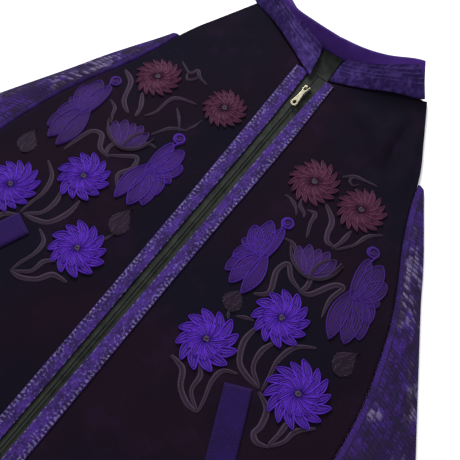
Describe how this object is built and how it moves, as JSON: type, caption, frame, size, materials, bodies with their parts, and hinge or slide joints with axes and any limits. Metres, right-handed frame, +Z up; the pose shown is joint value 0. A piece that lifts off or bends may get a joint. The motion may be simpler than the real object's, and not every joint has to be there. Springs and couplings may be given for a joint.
{
  "type": "embroidered zip jacket laid flat",
  "caption": "Black zip jacket with ikat sleeves, stand collar and raised violet and maroon flower and bird embroidery, laid flat front up.",
  "frame": {"origin": "centre of the bounding box on the surface the jacket lies on", "axes": "+X to the wearer's left, +Y from the hem towards the collar, +Z up from the surface"},
  "size_m": [0.818, 0.6388, 0.0331],
  "materials": {
    "black_cloth": "matte plain-woven cotton, black with a faint violet and maroon cast",
    "ikat_cloth": "hand-woven ikat cotton, deep violet ground with lilac and black figures",
    "violet_cloth": "violet hand-woven cotton, patchy dye with lighter woven dashes",
    "zip_tape": "dark green-black woven tape",
    "violet_thread": "satin-stitched violet thread with a soft sheen",
    "maroon_thread": "satin-stitched dull maroon thread",
    "indigo_thread": "satin-stitched deep indigo-violet thread",
    "mauve_thread": "satin-stitched grey-mauve thread",
    "pale_brass": "pale polished metal"
  },
  "bodies": {
    "jacket": {"back": "black_cloth", "front_left": "black_cloth", "front_right": "black_cloth", "sleeve_left": "ikat_cloth", "sleeve_right": "ikat_cloth", "collar": "violet_cloth", "zip_tape_left": "zip_tape", "zip_tape_right": "zip_tape", "zip_chain": "zip_tape", "zip_guard": "zip_tape", "slider": "pale_brass", "zip_box": "pale_brass", "zip_band_left": "violet_cloth", "zip_band_right": "violet_cloth", "pocket_welt_left": "violet_cloth", "pocket_welt_right": "violet_cloth", "flower_maroon_left_inner": "maroon_thread", "flower_maroon_left_outer": "maroon_thread", "flower_maroon_right_inner": "maroon_thread", "flower_maroon_right_outer": "maroon_thread", "flower_violet_left_upper": "violet_thread", "flower_violet_left_lower": "violet_thread", "flower_violet_left_outer": "violet_thread", "flower_violet_right_upper": "violet_thread", "flower_violet_right_lower": "violet_thread", "flower_violet_right_outer": "violet_thread", "bird_left_inner": "indigo_thread", "bird_left_outer": "indigo_thread", "bird_right_inner": "indigo_thread", "bird_right_outer": "indigo_thread", "bud_left": "indigo_thread", "bud_right": "indigo_thread", "leaf_left_inner": "mauve_thread", "leaf_left_outer": "mauve_thread", "leaf_right_inner": "mauve_thread", "leaf_right_outer": "mauve_thread"},
    "tab": {"pull_tab": "pale_brass"}
  },
  "joints": [
    {"name": "tab_lift", "type": "hinge", "parent": "jacket", "child": "tab", "pos_m": [0, 0.24464, 0.0076], "axis": [-1, 0, 0], "range_deg": [0, 150]}
  ]
}
